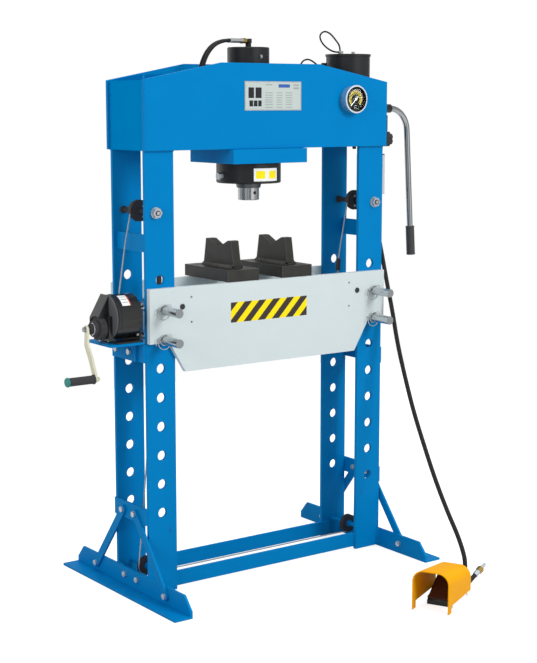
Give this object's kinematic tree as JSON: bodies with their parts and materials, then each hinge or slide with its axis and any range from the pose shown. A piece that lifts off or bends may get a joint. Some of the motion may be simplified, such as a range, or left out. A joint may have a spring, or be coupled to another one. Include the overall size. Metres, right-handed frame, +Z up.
{
  "type": "hydraulic workshop press",
  "caption": "Floor-standing hydraulic workshop press: blue gantry frame, pinned pale bed with V blocks, sliding ram, pump lever, hand winch and foot pedal.",
  "frame": {"origin": "on the floor, midway between the two feet", "axes": "+X to the right seen from the front, +Y to the rear, +Z up"},
  "size_m": [1.52, 1.2299, 1.9306],
  "materials": {
    "frame_blue": "smooth enamel",
    "bed_grey": "smooth pale grey enamel",
    "steel_zinc": "zinc plated",
    "steel_bright": "polished",
    "black_metal": "satin black",
    "block_black": "black oxide",
    "black_plastic": "matte",
    "rubber_black": "matte",
    "pedal_yellow": "smooth enamel",
    "plate_silver": "printed plate",
    "glass": "clear",
    "needle_white": "painted",
    "crank_cream": "zinc, yellow passivated",
    "cable_steel": "wire rope"
  },
  "bodies": {
    "frame": {"air_valve": "black_metal", "bed_cross_members": "bed_grey", "bed_front_plate": "bed_grey", "bed_rear_plate": "bed_grey", "cross_bars": "frame_blue", "foot_braces": "frame_blue", "foot_left": "frame_blue", "foot_right": "frame_blue", "frame_bolts": "steel_zinc", "gauge_case": "steel_bright", "gauge_glass": "glass", "head_front_plate": "frame_blue", "head_left_cover": "frame_blue", "head_rear_plate": "frame_blue", "head_right_end": "frame_blue", "lift_cable_left": "cable_steel", "lift_cable_right": "cable_steel", "loop_tube": "rubber_black", "name_plate": "plate_silver", "pedal_base": "black_metal", "pedal_guard": "pedal_yellow", "pedal_hose": "rubber_black", "post_front_left": "frame_blue", "post_front_right": "frame_blue", "post_rear_left": "frame_blue", "post_rear_right": "frame_blue", "pulley_axles": "steel_zinc", "pump_body": "black_metal", "reservoir": "black_metal", "return_hose": "rubber_black", "side_ties": "frame_blue", "v_block_left": "block_black", "v_block_right": "block_black", "winch_bracket": "frame_blue", "winch_cover": "black_metal", "winch_frame": "steel_zinc"},
    "carriage": {"carriage_block": "frame_blue", "ram_barrel": "black_metal", "ram_flange": "black_metal", "ram_hose_front": "rubber_black", "ram_hose_rear": "rubber_black"},
    "ram": {"ram_rod": "steel_bright"},
    "lever": {"lever_socket": "black_metal", "lever_tube": "steel_bright", "lever_grip": "rubber_black"},
    "release_valve": {"release_knob": "black_plastic"},
    "needle": {"gauge_needle": "needle_white"},
    "pin_left_upper": {"bed_pin_left_upper": "steel_bright"},
    "pin_left_lower": {"bed_pin_left_lower": "steel_bright"},
    "pin_right_upper": {"bed_pin_right_upper": "steel_bright"},
    "pin_right_lower": {"bed_pin_right_lower": "steel_bright"},
    "crank": {"crank_hub": "black_plastic", "crank_arm": "crank_cream"},
    "crank_handle": {"crank_grip": "rubber_black"},
    "drum": {"winch_drum": "cable_steel"},
    "wheel_upper_left": {"pulley_upper_left": "black_plastic"},
    "wheel_upper_right": {"pulley_upper_right": "black_plastic"},
    "wheel_lower_left": {"pulley_lower_left": "black_plastic"},
    "wheel_lower_right": {"pulley_lower_right": "black_plastic"},
    "treadle": {"pedal_treadle": "black_plastic"}
  },
  "joints": [
    {"name": "carriage_slide", "type": "slide", "parent": "frame", "child": "carriage", "axis": [1, 0, 0], "range_m": [-0.16, 0.16]},
    {"name": "ram_stroke", "type": "slide", "parent": "carriage", "child": "ram", "axis": [0, 0, 1], "range_m": [-0.225, 0]},
    {"name": "lever_swing", "type": "hinge", "parent": "frame", "child": "lever", "pos_m": [0.534, -0.06, 1.652], "axis": [0, -1, 0], "range_deg": [0, 50]},
    {"name": "release_turn", "type": "hinge", "parent": "frame", "child": "release_valve", "pos_m": [0.56, -0.06, 1.54], "axis": [1, 0, 0], "range_deg": [0, 360]},
    {"name": "needle_sweep", "type": "hinge", "parent": "frame", "child": "needle", "pos_m": [0.347, -0.153, 1.6855], "axis": [0, 1, 0], "range_deg": [0, 270], "stiffness_Nm_per_rad": 0.002},
    {"name": "pin_left_upper_pull", "type": "slide", "parent": "frame", "child": "pin_left_upper", "axis": [0, -1, 0], "range_m": [0, 0.275]},
    {"name": "pin_left_lower_pull", "type": "slide", "parent": "frame", "child": "pin_left_lower", "axis": [0, -1, 0], "range_m": [0, 0.275]},
    {"name": "pin_right_upper_pull", "type": "slide", "parent": "frame", "child": "pin_right_upper", "axis": [0, -1, 0], "range_m": [0, 0.275]},
    {"name": "pin_right_lower_pull", "type": "slide", "parent": "frame", "child": "pin_right_lower", "axis": [0, -1, 0], "range_m": [0, 0.275]},
    {"name": "crank_turn", "type": "hinge", "parent": "frame", "child": "crank", "pos_m": [-0.7, -0.045, 0.936], "axis": [1, 0, 0], "continuous": true},
    {"name": "crank_handle_turn", "type": "hinge", "parent": "crank", "child": "crank_handle", "pos_m": [-0.75, -0.09522, 0.77673], "axis": [1, 0, 0], "continuous": true},
    {"name": "drum_turn", "type": "hinge", "parent": "frame", "child": "drum", "pos_m": [-0.58, -0.045, 0.97], "axis": [1, 0, 0], "continuous": true},
    {"name": "wheel_upper_left_turn", "type": "hinge", "parent": "frame", "child": "wheel_upper_left", "pos_m": [-0.47, -0.004, 1.313], "axis": [0, 1, 0], "continuous": true},
    {"name": "wheel_upper_right_turn", "type": "hinge", "parent": "frame", "child": "wheel_upper_right", "pos_m": [0.47, 0.004, 1.313], "axis": [0, 1, 0], "continuous": true},
    {"name": "wheel_lower_left_turn", "type": "hinge", "parent": "frame", "child": "wheel_lower_left", "pos_m": [-0.452, 0.004, 0.073], "axis": [0, 1, 0], "continuous": true},
    {"name": "wheel_lower_right_turn", "type": "hinge", "parent": "frame", "child": "wheel_lower_right", "pos_m": [0.452, 0.004, 0.073], "axis": [0, 1, 0], "continuous": true},
    {"name": "treadle_press", "type": "hinge", "parent": "frame", "child": "treadle", "pos_m": [0.23763, -0.75246, 0.022], "axis": [-0.454, 0.891, 0], "range_deg": [0, 9], "stiffness_Nm_per_rad": 6, "springref_deg": -17.19}
  ],
  "couplings": [
    {"joint": "drum_turn", "follows": "crank_turn", "ratio": -0.30769},
    {"joint": "wheel_upper_left_turn", "follows": "crank_turn", "ratio": -0.2134},
    {"joint": "wheel_upper_right_turn", "follows": "crank_turn", "ratio": 0.2134},
    {"joint": "wheel_lower_left_turn", "follows": "crank_turn", "ratio": 0.2134},
    {"joint": "wheel_lower_right_turn", "follows": "crank_turn", "ratio": 0.2134}
  ]
}
